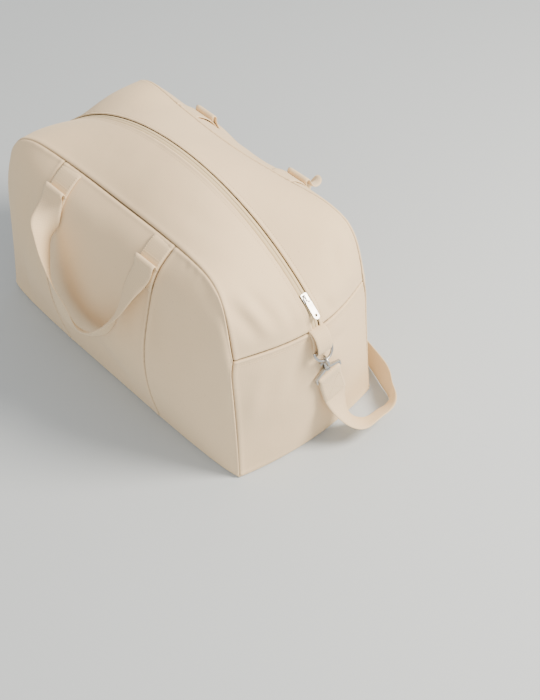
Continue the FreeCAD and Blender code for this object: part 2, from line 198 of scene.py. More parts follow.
def top_section(station, sign):
    _, _, top_x, top_y, top_z, angle = station
    if angle == ZIP_END:
        line = []
        for y in (-END_SEAM_HALF - 1.6, -72, -38, -LIP):
            x, z = end_seam(min(abs(y), END_SEAM_HALF))
            line.append((sign * x, y, z))
        return line
    seam = np.array([sign * top_x, -top_y + 0.7, top_z])
    lip = np.array(zip_point(sign * angle, 1.0, -LIP))
    lean = math.radians(angle * 1.3)
    out = np.array([sign * math.sin(lean), 0, math.cos(lean)])
    points = [seam + (lip - seam) * share for share in (0, 0.3, 0.65, 1)]
    points[1] = points[1] + out * TOP_CROWN
    points[2] = points[2] + out * TOP_CROWN
    return points


END_SWELL = (0, 5.9, 8.6, 7.3, 3.0, 0)  # at the heights of SECTION


def end_sections():
    """The end panel; its two upright edges are the side panels' own."""
    sections = []
    for k in range(9):
        v = k / 4 - 1
        round_off = 1 - v * v
        foot = np.array([END_FOOT_X + END_FOOT_BOW * round_off, v * END_FOOT_HALF, PANEL_FOOT_Z])
        x, z = end_seam(v * END_SEAM_HALF)
        top = np.array([x, v * (END_SEAM_HALF + 1.9), z])
        line = []
        for (height, share), swell in zip(SECTION, END_SWELL):
            p = foot + (top - foot) * height
            corner_x = END_FOOT_X + (END_SEAM_X - END_FOOT_X) * height
            p[0] += swell * round_off
            p[1] += v * abs(v) ** 3 * swelling(corner_x) * share
            line.append(p)
        sections.append(line)
    return sections


# ---------------------------------------------------------------- relief of the cloth


def lumps(points, size, seed):
    """Smooth noise from -1 to 1 with features of about that size."""
    flat = points.reshape(-1, 3) / size + seed
    values = [noise.noise(Vector(p)) for p in flat]
    return np.array(values).reshape(points.shape[:-1])


def crease(points, a, b, width, height):
    """A soft fold or hollow along the line from a to b, dying away past its ends."""
    a, b = np.array(a, float), np.array(b, float)
    along = b - a
    share = np.clip(((points - a) @ along) / (along @ along), 0, 1)
    gap = np.linalg.norm(points - a - share[..., None] * along, axis=-1)
    taper = 0.35 + 0.65 * np.sin(math.pi * share)
    return height * taper * np.exp(-(gap / width) ** 2)


GROOVE, RIDGE = 2.3, 0.55


def seam_relief(distance, groove=GROOVE, ridge=RIDGE, at=4.6, wide=2.4):
    """Cloth turning down into a seam, with the allowance raised beside it."""
    down = -groove * np.exp(-(distance / 1.15) ** 2)
    return down + ridge * np.exp(-((distance - at) / wide) ** 2)


def pucker(distance, along, points, seed, size=0.35, pitch=7.5, reach=9):
    """Small gathers square to a row of stitches."""
    wander = lumps(points, 26, seed) * 5
    strength = 0.6 + 0.8 * lumps(points, 60, seed + 7)
    return size * strength * np.sin(along * 2 * math.pi / pitch + wander) * np.exp(-distance / reach)


PANELS = {}  # each finished panel's u and v shares, points, normals and distances along v
FRONT_LIP_RISE, BACK_LIP_RISE = 0.2, 1.4


def make_panel(name, loft, u_range, borders, creases, turn, seed):
    """One canvas panel: its loft, relief and thickness. borders says what is at the low
    and high ends of u and v: seam, ridged (a pressed and topstitched seam), lip or foot."""
    u0, u1 = u_range
    length = loft.length * (u1 - u0)
    us = u0 + (u1 - u0) * graded(length)
    vs = graded(loft.height)
    grid = loft.read(us, vs)
    if turn:
        grid = half_turned(grid)
    normal = surface_normals(grid)
    along = np.concatenate([[0], np.cumsum(np.linalg.norm(np.diff(grid, axis=0), axis=2).mean(axis=1))])
    widths = np.linalg.norm(np.diff(grid, axis=1), axis=2)
    across = np.concatenate([np.zeros((len(us), 1)), np.cumsum(widths, axis=1)], axis=1)
    run = np.broadcast_to(along[:, None], across.shape)
    to_border = {"u0": run, "u1": along[-1] - run, "v0": across, "v1": across[:, -1:] - across}
    lift = np.zeros(across.shape)
    near = np.zeros(across.shape)
    edge = np.full(across.shape, 1e3)
    for side, kind in borders.items():
        d = to_border[side]
        beside = across if side[0] == "u" else run
        edge = np.minimum(edge, d)
        if kind == "seam":
            lift += seam_relief(d) + pucker(d, beside, grid, seed + 3)
            near = np.maximum(near, np.exp(-(d / 1.0) ** 2))
        elif kind == "ridged":
            lift += seam_relief(d, 1.9, 1.0, 3.2, 2.0) + pucker(d - 3, beside, grid, seed + 5, 0.3)
            near = np.maximum(near, np.exp(-(d / 0.8) ** 2))
        elif kind == "lip":
            lift += -0.9 * np.exp(-(d / 0.8) ** 2) + 0.45 * np.exp(-((d - 2.2) / 1.4) ** 2)
            lift += -0.35 * np.exp(-((d - 6.0) / 0.9) ** 2) + pucker(d, beside, grid, seed + 9, 0.22, 6, 7)
            lift += (BACK_LIP_RISE if turn else FRONT_LIP_RISE) * np.exp(-(d / 4.5) ** 2)
        elif kind == "foot":
            lift += -1.4 * np.exp(-(d / 1.2) ** 2) + 0.6 * np.exp(-((d - 4) / 2.5) ** 2)
            near = np.maximum(near, 0.7 * np.exp(-(d / 1.0) ** 2))
    slack = 1 - np.exp(-edge / 22)
    lift += slack * (2.6 * lumps(grid, 105, seed) + 1.0 * lumps(grid, 44, seed + 1))
    lift += (0.25 + 0.75 * slack) * 0.22 * lumps(grid, 13, seed + 2)
    for a, b, width, height in creases:
        lift += np.minimum(1, edge / 6) * crease(grid, a, b, width, height)
    skin = grid + normal * lift[..., None]
    PANELS[name] = (us, vs, skin, surface_normals(skin), across)
    return panel_object(name, skin, run, across, near, False)


def panel_object(name, skin, run, across, near, flip):
    """Cloth from a grid of points: run and across lay its weave, near shades it by a seam."""
    nu, nv = skin.shape[:2]
    index = np.arange(nu * nv).reshape(nu, nv)
    quads = np.stack([index[:-1, :-1], index[1:, :-1], index[1:, 1:], index[:-1, 1:]], axis=-1)
    quads = quads.reshape(-1, 4)
    if flip:
        quads = quads[:, ::-1]
    mesh = bpy.data.meshes.new(name)
    mesh.from_pydata((skin.reshape(-1, 3) * MM).tolist(), [], quads.tolist())
    plan = np.stack([run.ravel(), across.ravel()], axis=1) * MM
    give_uv(mesh, plan)
    seam = mesh.attributes.new("seam", "FLOAT", "POINT")
    seam.data.foreach_set("value", near.ravel().astype(np.float32))
    obj = add_object(name, mesh)
    thick = obj.modifiers.new("canvas", "SOLIDIFY")
    thick.thickness = CANVAS_THICK * MM
    thick.offset = -1
    return obj


def give_uv(mesh, plan):
    layer = mesh.uv_layers.new(name="cloth")
    loops = np.zeros(len(mesh.loops), int)
    mesh.loops.foreach_get("vertex_index", loops)
    layer.data.foreach_set("uv", plan[loops].astype(np.float32).ravel())


def add_object(name, mesh):
    mesh.polygons.foreach_set("use_smooth", [True] * len(mesh.polygons))
    obj = bpy.data.objects.new(name, mesh)
    bpy.context.scene.collection.objects.link(obj)
    return obj


def on_panel(name, u, v):
    """A point and normal of the finished panel at shares u, v of it."""
    us, vs, skin, normal, _ = PANELS[name]
    x = np.interp(u * (us[-1] - us[0]) + us[0], us, np.arange(len(us)))
    y = np.interp(v * (vs[-1] - vs[0]) + vs[0], vs, np.arange(len(vs)))
    i, j = min(int(x), len(us) - 2), min(int(y), len(vs) - 2)
    a, b = x - i, y - j
    found = []
    for g in (skin, normal):
        low = g[i, j] * (1 - a) + g[i + 1, j] * a
        high = g[i, j + 1] * (1 - a) + g[i + 1, j + 1] * a
        found.append(low * (1 - b) + high * b)
    return found[0], found[1] / np.linalg.norm(found[1])


def on_panel_at(name, x, z):
    """The finished panel's point and normal at that x and height z."""
    us, vs, skin, _, _ = PANELS[name]
    gap = (skin[..., 0] - x) ** 2 + (skin[..., 2] - z) ** 2
    i, j = np.unravel_index(np.argmin(gap), gap.shape)
    u = (us[i] - us[0]) / (us[-1] - us[0])
    v = (vs[j] - vs[0]) / (vs[-1] - vs[0])
    for _ in range(12):
        p, n = on_panel(name, u, v)
        pu, _ = on_panel(name, min(u + 0.01, 1), v)
        pv, _ = on_panel(name, u, min(v + 0.01, 1))
        slope = np.array([[pu[0] - p[0], pv[0] - p[0]], [pu[2] - p[2], pv[2] - p[2]]]) / 0.01
        try:
            du, dv = np.linalg.solve(slope, [x - p[0], z - p[2]])
        except np.linalg.LinAlgError:
            break
        u, v = min(max(u + du * 0.8, 0), 1), min(max(v + dv * 0.8, 0), 1)
    return on_panel(name, u, v)


# ---------------------------------------------------------------- webbing and stitches


def unit(v):
    v = np.asarray(v, float)
    return v / np.maximum(np.linalg.norm(v, axis=-1, keepdims=True), 1e-12)


WEB_STEPS = 10


def web_outline(width, thick):
    """Section of the webbing: flat, with rounded selvedges a little thicker than it."""
    half, rise = width / 2, thick / 2
    top = []
    for k in range(WEB_STEPS + 1):
        x = -half + width * k / WEB_STEPS
        edge = 1 - min(1, (half - abs(x)) / 3)
        height = rise * (1 + 0.12 * (edge > 0)) if 0 < k < WEB_STEPS else rise * 0.45
        top.append((x * (1 - 0.008 * edge), height))
    return top + [(x, -y) for x, y in top[::-1]]


def webbing(name, points, faces, width, thick=WEB_THICK):
    """A strip of webbing: its section swept along points, facing the way faces say."""
    points = np.asarray(points, float)
    tangent = unit(np.gradient(points, axis=0))
    across = unit(np.cross(faces, tangent))
    out = np.cross(tangent, across)
    section = web_outline(width, thick)
    rings = []
    for side, up in section:
        rings.append(points + across * side + out * up)
    grid = np.stack(rings, axis=1)
    count, ring = grid.shape[:2]
    index = np.arange(count * ring).reshape(count, ring)
    following = np.roll(index, -1, axis=1)
    quads = np.stack([index[:-1], index[1:], following[1:], following[:-1]], axis=-1).reshape(-1, 4)
    half = ring // 2
    caps = []
    for row, turn in ((0, 1), (count - 1, -1)):
        for k in range(half - 1):
            cap = [index[row, k], index[row, k + 1], index[row, ring - 2 - k], index[row, ring - 1 - k]]
            caps.append(cap[::turn])
    mesh = bpy.data.meshes.new(name)
    mesh.from_pydata((grid.reshape(-1, 3) * MM).tolist(), [], quads.tolist() + caps)
    mesh.validate()
    run = np.concatenate([[0], np.cumsum(np.linalg.norm(np.diff(points, axis=0), axis=1))])
    lateral = np.array([s for s, _ in section])
    plan = np.stack(np.broadcast_arrays(run[:, None], lateral[None, :]), axis=-1).reshape(-1, 2)
    give_uv(mesh, plan * MM)
    return add_object(name, mesh)


def stitch_row(lines, pitch=3.4, long=2.5, fat=0.42, sunk=0.12):
    """Verts and faces of stitches along lines of (points, normals)."""
    verts, faces = [], []
    rings, sides = 5, 6
    for points, normals in lines:
        points, normals = np.asarray(points, float), np.asarray(normals, float)
        run = np.concatenate([[0], np.cumsum(np.linalg.norm(np.diff(points, axis=0), axis=1))])
        count = max(1, int(run[-1] // pitch))
        margin = (run[-1] - count * pitch) / 2
        for k in range(count):
            at = margin + (k + 0.5) * pitch
            where = np.array([np.interp(at, run, points[:, c]) for c in range(3)])
            ahead = np.array([np.interp(at + 0.6, run, points[:, c]) for c in range(3)])
            behind = np.array([np.interp(at - 0.6, run, points[:, c]) for c in range(3)])
            up = unit([np.interp(at, run, normals[:, c]) for c in range(3)])
            way = unit(ahead - behind)
            side = unit(np.cross(up, way))
            base = len(verts)
            for r in range(rings):
                share = r / (rings - 1) * 2 - 1
                fatness = fat * math.sqrt(max(0.04, 1 - share ** 4))
                middle = where + way * (share * long / 2) + up * (-sunk - 0.35 * share ** 4 + fat * 0.5)
                for s in range(sides):
                    a = 2 * math.pi * s / sides
                    verts.append(middle + (side * math.cos(a) + up * math.sin(a)) * fatness)
            for r in range(rings - 1):
                for s in range(sides):
                    a, b = base + r * sides + s, base + r * sides + (s + 1) % sides
                    faces.append((a, b, b + sides, a + sides))
            faces.append(tuple(base + s for s in range(sides))[::-1])
            faces.append(tuple(base + (rings - 1) * sides + s for s in range(sides)))
    return verts, faces


def stitches(name, lines, **settings):
    verts, faces = stitch_row(lines, **settings)
    mesh = bpy.data.meshes.new(name)
    mesh.from_pydata([tuple(v * MM) for v in verts], [], faces)
    return add_object(name, mesh)


def line_beside(name, gap, start=0.02, end=0.98, count=240, lift=0.1):
    """A line on a finished panel, gap mm below its top edge (v = 1)."""
    us, _, skin, normal, across = PANELS[name]
    rows = np.linspace(start, end, count) * (len(us) - 1)
    points, normals = [], []
    for row in rows:
        i = min(int(row), len(us) - 2)
        share = row - i
        found = []
        for k in (i, i + 1):
            at = across[k, -1] - gap
            found.append(([np.interp(at, across[k], skin[k, :, c]) for c in range(3)],
                          [np.interp(at, across[k], normal[k, :, c]) for c in range(3)]))
        point = np.array(found[0][0]) * (1 - share) + np.array(found[1][0]) * share
        looks = unit(np.array(found[0][1]) * (1 - share) + np.array(found[1][1]) * share)
        points.append(point + looks * lift)
        normals.append(looks)
    return points, normals


# ---------------------------------------------------------------- materials


def linear(hex_colour):
    """sRGB hex to linear colour with alpha."""
    channels = [int(hex_colour[k:k + 2], 16) / 255 for k in (1, 3, 5)]
    flat = [c / 12.92 if c <= 0.04045 else ((c + 0.055) / 1.055) ** 2.4 for c in channels]
    return (*flat, 1.0)


def add_node(tree, kind, settings=None, **inputs):
    """One node with its settings; an input is a value, or a (node, output) link."""
    node = tree.nodes.new(kind)
    for key, value in (settings or {}).items():
        setattr(node, key, value)
    for key, value in inputs.items():
        socket = node.inputs[int(key[1:])] if key[1:].isdigit() else node.inputs[key.replace("_", " ")]
        if isinstance(value, tuple) and len(value) == 2 and hasattr(value[0], "outputs"):
            tree.links.new(value[0].outputs[value[1]], socket)
        else:
            socket.default_value = value
    return node


def new_material(name):
    material = bpy.data.materials.new(name)
    material.use_nodes = True
    tree = material.node_tree
    tree.nodes.clear()
    return material, tree


def finish_material(tree, shader):
    add_node(tree, "ShaderNodeOutputMaterial", Surface=(shader, 0))


WAVE_PERIOD = math.pi / 10  # the wave texture's period at scale 1, in its own units
SEED_FLECK, SEAM_SHADE = "#9c7f58", "#6b573c"


def woven_cotton(name, light, mid, valley_shade, thread, slub, depth, rib=0.0, fuzz=0.3):
    """Undyed cotton, plain woven. Threads cross every `thread` mm; slubs are thicker
    lengths of yarn `slub` mm long. A dry, matt surface with a little fuzz at the edges."""
    material, tree = new_material(name)
    plan = add_node(tree, "ShaderNodeUVMap", {"uv_map": "cloth"})
    scale = WAVE_PERIOD / (2 * thread * MM)
    waves = []
    for direction in ("X", "Y"):
        waves.append(add_node(tree, "ShaderNodeTexWave", {"wave_type": "BANDS", "bands_direction": direction},
                              Vector=(plan, 0), Scale=scale, Distortion=2.6, Detail=3.0,
                              Detail_Scale=0.6))
    crossing = add_node(tree, "ShaderNodeMath", {"operation": "MULTIPLY_ADD"},
                        _0=(waves[0], 1), _1=(waves[1], 1), _2=rib)
    yarns = []
    for stretch in ((1, 9, 1), (9, 1, 1)):
        squeezed = add_node(tree, "ShaderNodeMapping", Vector=(plan, 0), Scale=stretch)
        yarns.append(add_node(tree, "ShaderNodeTexNoise", Vector=(squeezed, 0),
                              Scale=1 / (slub * MM), Detail=2.0, Roughness=0.6))
    slubs = add_node(tree, "ShaderNodeMix", {"data_type": "FLOAT"}, Factor=0.5,
                     _2=(yarns[0], 0), _3=(yarns[1], 0))
    height = add_node(tree, "ShaderNodeMix", {"data_type": "FLOAT"}, Factor=0.62,
                      _2=(crossing, 0), _3=(slubs, 0))
    place = add_node(tree, "ShaderNodeTexCoord")
    cloud = add_node(tree, "ShaderNodeTexNoise", Vector=(place, 3), Scale=7.0, Detail=4.0, Roughness=0.55)
    body = add_node(tree, "ShaderNodeMix", {"data_type": "RGBA"}, Factor=(cloud, 0),
                    _6=linear(mid), _7=linear(light))
    # Painted shade: the lower the weave lies between threads, the more it is mixed towards the valley_shade
    # colour.
    valley = add_node(tree, "ShaderNodeMapRange", Value=(height, 0), From_Min=0.22, From_Max=0.5,
                      To_Min=0.16, To_Max=0.0)
    threads = add_node(tree, "ShaderNodeMix", {"data_type": "RGBA"}, Factor=(valley, 0),
                       _6=(body, 2), _7=linear(valley_shade))
    flecks = add_node(tree, "ShaderNodeTexNoise", Vector=(place, 3), Scale=520.0, Detail=1.0)
    rare = add_node(tree, "ShaderNodeMapRange", Value=(flecks, 0), From_Min=0.72, From_Max=0.8,
                    To_Min=0.0, To_Max=0.35)
    flecked = add_node(tree, "ShaderNodeMix", {"data_type": "RGBA"}, Factor=(rare, 0),
                       _6=(threads, 2), _7=linear(SEED_FLECK))
    seam = add_node(tree, "ShaderNodeAttribute", {"attribute_name": "seam"})
    shade = add_node(tree, "ShaderNodeMath", {"operation": "MULTIPLY"}, _0=(seam, 2), _1=0.75)
    colour = add_node(tree, "ShaderNodeMix", {"data_type": "RGBA"}, Factor=(shade, 0),
                      _6=(flecked, 2), _7=linear(SEAM_SHADE))
    bump = add_node(tree, "ShaderNodeBump", Strength=0.4, Distance=depth * MM, Height=(height, 0))
    rough = add_node(tree, "ShaderNodeMapRange", Value=(slubs, 0), To_Min=0.8, To_Max=0.97)
    shader = add_node(tree, "ShaderNodeBsdfPrincipled", Base_Color=(colour, 2), Roughness=(rough, 0),
                      Normal=(bump, 0))
    shader.inputs["Sheen Weight"].default_value = fuzz
    shader.inputs["Sheen Roughness"].default_value = 0.5
    shader.inputs["Sheen Tint"].default_value = linear("#fff4e0")
    shader.inputs["Specular IOR Level"].default_value = 0.2
    finish_material(tree, shader)
    return material


def nickel_plate(name, tint, rough_low, rough_high):
    """Bright nickel on cast zinc: a mirror that handling has hazed, with fine scratches."""
    material, tree = new_material(name)
    place = add_node(tree, "ShaderNodeTexCoord")
    haze = add_node(tree, "ShaderNodeTexNoise", Vector=(place, 3), Scale=90.0, Detail=3.0)
    rough = add_node(tree, "ShaderNodeMapRange", Value=(haze, 0), From_Min=0.3, From_Max=0.7,
                     To_Min=rough_low, To_Max=rough_high)
    stretched = add_node(tree, "ShaderNodeMapping", Vector=(place, 3), Scale=(1, 14, 3))
    scratch = add_node(tree, "ShaderNodeTexNoise", Vector=(stretched, 0), Scale=900.0, Detail=2.0)
    cast = add_node(tree, "ShaderNodeTexNoise", Vector=(place, 3), Scale=420.0, Detail=1.0)
    grain = add_node(tree, "ShaderNodeMix", {"data_type": "FLOAT"}, Factor=0.35,
                     _2=(cast, 0), _3=(scratch, 0))
    bump = add_node(tree, "ShaderNodeBump", Strength=0.1, Distance=0.02 * MM, Height=(grain, 0))
    tone = add_node(tree, "ShaderNodeMix", {"data_type": "RGBA"}, Factor=(haze, 0),
                    _6=linear(tint), _7=linear("#c9c9c7"))
    shader = add_node(tree, "ShaderNodeBsdfPrincipled", Base_Color=(tone, 2), Roughness=(rough, 0),
                      Normal=(bump, 0), Metallic=1.0)
    finish_material(tree, shader)
    return material


def nylon_coil(name):
    """Dyed nylon monofilament, drawn and wound: smooth, a little glossy."""
    material, tree = new_material(name)
    place = add_node(tree, "ShaderNodeTexCoord")
    cloud = add_node(tree, "ShaderNodeTexNoise", Vector=(place, 3), Scale=60.0, Detail=2.0)
    tone = add_node(tree, "ShaderNodeMix", {"data_type": "RGBA"}, Factor=(cloud, 0),
                    _6=linear("#c8b594"), _7=linear("#dccbab"))
    shader = add_node(tree, "ShaderNodeBsdfPrincipled", Base_Color=(tone, 2), Roughness=0.42)
    finish_material(tree, shader)
    return material


def cotton_thread(name):
    """Spun cotton sewing thread: matt, with a twist along it."""
    material, tree = new_material(name)
    place = add_node(tree, "ShaderNodeTexCoord")
    twist = add_node(tree, "ShaderNodeTexWave", {"bands_direction": "DIAGONAL"}, Vector=(place, 3),
                     Scale=WAVE_PERIOD / (0.6 * MM), Distortion=1.0)
    # Painted shade and highlight: the twist's grooves are coloured darker and its ridges lighter, on the same
    # bands as the bump.
    tone = add_node(tree, "ShaderNodeMix", {"data_type": "RGBA"}, Factor=(twist, 1),
                    _6=linear("#d3bf9c"), _7=linear("#e6d5b6"))
    bump = add_node(tree, "ShaderNodeBump", Strength=0.5, Distance=0.1 * MM, Height=(twist, 1))
    shader = add_node(tree, "ShaderNodeBsdfPrincipled", Base_Color=(tone, 2), Roughness=0.8, Normal=(bump, 0))
    finish_material(tree, shader)
    return material


# Canvas threads really cross about every 0.6 mm; drawn at 1.0 mm so that they show.
CANVAS_CLOTH = woven_cotton("cotton_canvas", "#eed6b3", "#e4cca6", "#a88f68", 1.0, 4.0, 0.3)
# Webbing is woven tighter across than along: weft ribs 1.6 mm apart, drawn true.
WEB_CLOTH = woven_cotton("cotton_webbing", "#ebd4b2", "#dfc8a2", "#a38a62", 1.6, 4.0, 0.45, rib=0.05)
TAPE_CLOTH = woven_cotton("zip_tape_cloth", "#e2cfa9", "#d6c199", "#a08862", 0.9, 3.0, 0.15)
THREAD = cotton_thread("cotton_thread")
NICKEL = nickel_plate("nickel_plate", "#a9aaac", 0.27, 0.4)
SPRING = nickel_plate("spring_steel_wire", "#a9a9ab", 0.3, 0.45)
COIL = nylon_coil("nylon_coil")


def wear(obj, material):
    obj.data.materials.clear()
    obj.data.materials.append(material)
    return obj


def place(obj, body, material, slot, *nodes):
    wear(obj, material)
    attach(obj, body)
    if nodes:
        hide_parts(*nodes)
    return obj


# ---------------------------------------------------------------- body of the bag

SIDE = Loft(both_ways(side_section))
TOP = Loft(both_ways(top_section))
END = Loft(end_sections())
SEAM_U = SIDE.knots[len(STATIONS) - 1 + SEAM_STATION]

# Soft folds and hollows, at their own places on the bag: from, to, width, height. A fold marks
# the panel it lies on, so the back side panels and the left end get none of these.
FRONT_CREASES = [
    ((196, -108, 288), (227, -112, 254), 14, -3.6),
    ((198, -106, 296), (233, -118, 230), 6, 1.5),
    ((146, -102, 302), (153, -110, 289), 3.5, -1.7),
    ((161, -101, 303), (168, -109, 290), 3.5, -1.6),
    ((176, -102, 302), (184, -108, 288), 4, -1.5),
    ((110, -141, 236), (124, -152, 165), 17, -1.8),
    ((171, -129, 267), (199, -139, 155), 16, 1.6),
    ((-148, -135, 256), (-205, -132, 30), 11, -3.2),
    ((-127, -139, 246), (-128, -153, 131), 9, 2.0),
    ((-182, -128, 246), (-232, -126, 60), 9, 2.2),
    ((-20, -150, 80), (60, -145, 40), 22, -1.8),
]
TOP_CREASES = [
    ((222, -100, 279), (251, -79, 227), 10, -4.2),
    ((222, -70, 283), (255, -51, 233), 8, -3.0),
    ((223, -87, 283), (254, -66, 231), 7, 1.8),
    ((240, -31, 260), (264, -28, 222), 7, -2.0),
    ((257, 22, 240), (266, 36, 211), 8, -2.4),
    ((222, 74, 284), (250, 60, 240), 12, -2.4),
    ((60, -60, 322), (150, -50, 312), 16, -1.4),
    ((150, -85, 300), (196, -70, 290), 13, -2.0),
]
END_CREASES = [
    ((275, -22, 182), (276, -46, 126), 14, -2.6),
    ((259, -81, 175), (258, -101, 99), 12, 2.0),
    ((277, 22, 172), (269, 56, 162), 9, -2.0),
    ((276, 20, 110), (268, 60, 60), 18, -2.2),
]


def bottom_cloth():
    """The flat bottom: as wide as the side panels' feet, bowed out at the ends."""
    feet_x = [station[0] for station in STATIONS]
    feet_y = [station[1] for station in STATIONS]
    half_width = 120  # near enough to measure how close the long edges are
    v = np.linspace(-1, 1, 61)
    a = np.linspace(-1, 1, 121)
    reach = END_FOOT_X + END_FOOT_BOW * (1 - v ** 2)
    x = a[:, None] * reach[None, :]
    y = v[None, :] * np.interp(np.abs(a) * END_FOOT_X, feet_x, feet_y)[:, None]
    edge = np.minimum(reach[None, :] - np.abs(x), (1 - np.abs(v))[None, :] * half_width)
    z = 0.25 + 2.0 * np.exp(-(edge / 2.0) ** 2)
    grid = np.stack([x, y, z], axis=-1)
    return panel_object("bottom_panel_cloth", grid, x - x.min(), y - y.min(), np.zeros(x.shape), True)


def build_body():
    low, high = 1 - SEAM_U, SEAM_U
    side = {"v0": "foot", "v1": "seam", "u0": "seam", "u1": "seam"}
    for facing, turn, seed in (("front", False, 0.0), ("back", True, 40.0)):
        near, far = ("right", "left") if not turn else ("left", "right")
        spans = {"centre": (low, high), near: (high, 1.0), far: (0.0, low)}
        for k, (part, span) in enumerate(spans.items()):
            name = f"{facing}_{part}_panel"
            panel = make_panel(name + "_cloth", SIDE, span, side, seed=seed + 11 * k, turn=turn,
                               creases=FRONT_CREASES)
            place(panel, "root", CANVAS_CLOTH, "canvas", name)
        name = f"top_{facing}_panel"
        borders = {"v0": "seam", "v1": "lip", "u0": "seam", "u1": "seam"}
        panel = make_panel(name + "_cloth", TOP, (0, 1), borders, TOP_CREASES, seed=seed + 71, turn=turn)
        place(panel, "root", CANVAS_CLOTH, "canvas", name)
    for side_name, turn, seed in (("right", False, 90.0), ("left", True, 97.0)):
        name = side_name + "_end_panel"
        borders = {"v0": "foot", "v1": "ridged", "u0": "seam", "u1": "seam"}
        panel = make_panel(name + "_cloth", END, (0, 1), borders, END_CREASES, seed=seed, turn=turn)
        place(panel, "root", CANVAS_CLOTH, "canvas", name)
    place(bottom_cloth(), "root", CANVAS_CLOTH, "canvas", "bottom_panel")
    rows = [line_beside(f"top_{facing}_panel_cloth", 7.0) for facing in ("front", "back")]
    for side_name in ("right", "left"):
        rows += [line_beside(side_name + "_end_panel_cloth", gap) for gap in (7.2, 10.6)]
    place(stitches("topstitching", rows, fat=0.36), "root", THREAD, "canvas")


build_body()

# ---------------------------------------------------------------- zip


def zip_frame(count=420):
    """Points down the middle of the zip, 1 mm below the lips' line, the way it runs, and up."""
    edge = TOP.read(np.linspace(0, 1, count), np.array([1.0]))[:, 0]
    edge = edge * (1, 0, 1)
    way = unit(np.gradient(edge, axis=0))
    up = np.stack([-way[:, 2], 0 * way[:, 1], way[:, 0]], axis=1)
    return edge - up, way, up


TAPE_THICK = 0.5
# half of the tape's section: distance from the middle, height, how much the seam shades it
TAPE_OUTLINE = [(0.28, -0.5, 0.9), (0.5, 0.05, 0.5), (1.0, 0.3, 0.1), (2.4, 0.25, 0), (4.0, -0.15, 0),
                (5.2, -1.1, 0.5), (8.5, -2.9, 1), (13, -4.8, 1)]


def zip_tape(name, sign):
    """Woven tape, turned face out: it hides the coil and dips under the lip."""
    middle, _, up = zip_frame()
    run = np.concatenate([[0], np.cumsum(np.linalg.norm(np.diff(middle, axis=0), axis=1))])
    rows = [middle + up * height + (0, sign * y, 0) for y, height, _ in TAPE_OUTLINE]
    grid = np.stack(rows, axis=1)
    across = np.broadcast_to(np.array([y for y, _, _ in TAPE_OUTLINE]), grid.shape[:2])
    near = np.broadcast_to(np.array([shade for _, _, shade in TAPE_OUTLINE]), grid.shape[:2])
    tape = panel_object(name, grid, np.broadcast_to(run[:, None], grid.shape[:2]), across, near, sign > 0)
    tape.modifiers["canvas"].thickness = TAPE_THICK * MM
    return tape


COIL_PITCH = 1.5
COIL_WIRE = 0.46  # the monofilament's radius
COIL_SIDES = 5
COIL_MARGIN = 4  # bare tape left at each end
# one turn of the coil: distance from the middle, height
COIL_TURN = [(2.9, -1.1), (3.0, -0.7), (2.3, -0.45), (1.0, -0.4), (-0.15, -0.5), (-0.7, -1.2), (-0.35, -2.0)]


def zip_coil(name, sign):
    """One side's coil, under its tape: a turn of monofilament every COIL_PITCH mm."""
    middle, way, up = zip_frame()
    run = np.concatenate([[0], np.cumsum(np.linalg.norm(np.diff(middle, axis=0), axis=1))])
    verts, faces = [], []
    for k in range(int((run[-1] - 2 * COIL_MARGIN) / COIL_PITCH)):
        at = COIL_MARGIN + (k + (0.25 if sign < 0 else 0.75)) * COIL_PITCH
        spot, ahead, rise = [np.array([np.interp(at, run, g[:, c]) for c in range(3)])
                             for g in (middle, way, up)]
        base = len(verts)
        for y, height in COIL_TURN:
            for m in range(COIL_SIDES):
                b = 2 * math.pi * m / COIL_SIDES
                p = spot + rise * (height + COIL_WIRE * math.sin(b)) + ahead * COIL_WIRE * math.cos(b)
                verts.append((p[0] * MM, sign * y * MM, p[2] * MM))
        for t in range(len(COIL_TURN) - 1):
            for m in range(COIL_SIDES):
                a, b = base + t * COIL_SIDES + m, base + t * COIL_SIDES + (m + 1) % COIL_SIDES
                quad = (a, b, b + COIL_SIDES, a + COIL_SIDES)
                faces.append(quad if sign > 0 else quad[::-1])
    mesh = bpy.data.meshes.new(name)
    mesh.from_pydata(verts, [], faces)
    return add_object(name, mesh)


def build_zip():
    for facing, sign in (("front", -1), ("back", 1)):
        tape = zip_tape(f"zip_tape_{facing}_cloth", sign)
        place(tape, "root", TAPE_CLOTH, "zip_tape", f"zip_tape_{facing}")
        coil = zip_coil(f"zip_coil_{facing}_turns", sign)
        place(coil, "root", COIL, "zip_coil", f"zip_coil_{facing}")


build_zip()

# ---------------------------------------------------------------- handles

# right fold to left fold: point, direction that the outer face looks
HANDLE_ROUTE = [
    ((88, -149, 247), (-0.3, -0.81, 0.5)),
    ((80, -164, 215), (-0.6, -0.64, 0.48)),
    ((62, -176, 177), (-0.81, -0.01, 0.59)),
    ((22, -179, 136), (-0.45, 0.64, 0.62)),
    ((-13, -181, 129), (0, 0.97, 0.25)),
    ((-36, -181, 142), (0.08, 1, 0.03)),
    ((-52, -180, 164), (0.29, 0.95, 0.04)),
    ((-64, -177, 200), (0.69, 0.72, 0.05)),
    ((-79, -169, 232), (0.85, 0.4, 0.17)),
    ((-91, -149.5, 257), (0.4, -0.88, 0.4)),
]
FOLD_Z, TAB_FOOT_Z = 283.0, 248


def fold_start(x):
    """The webbing's first points: flat on the tab, then rolled over the fold line."""
    surface, _ = on_panel_at("front_centre_panel_cloth", x, FOLD_Z - 5)
    y = surface[1] - 3.2
    return [((x, y, FOLD_Z - 8), (0, 0.9, -0.3)), ((x, y - 0.4, FOLD_Z - 2), (0, 0.9, 0.1)),
            ((x, y - 2.4, FOLD_Z + 1.8), (0, 0.1, 1)), ((x, y - 5.4, FOLD_Z + 0.6), (0, -0.8, 0.7)),
            ((x, y - 8.0, FOLD_Z - 6), (0, -1, 0.45))]


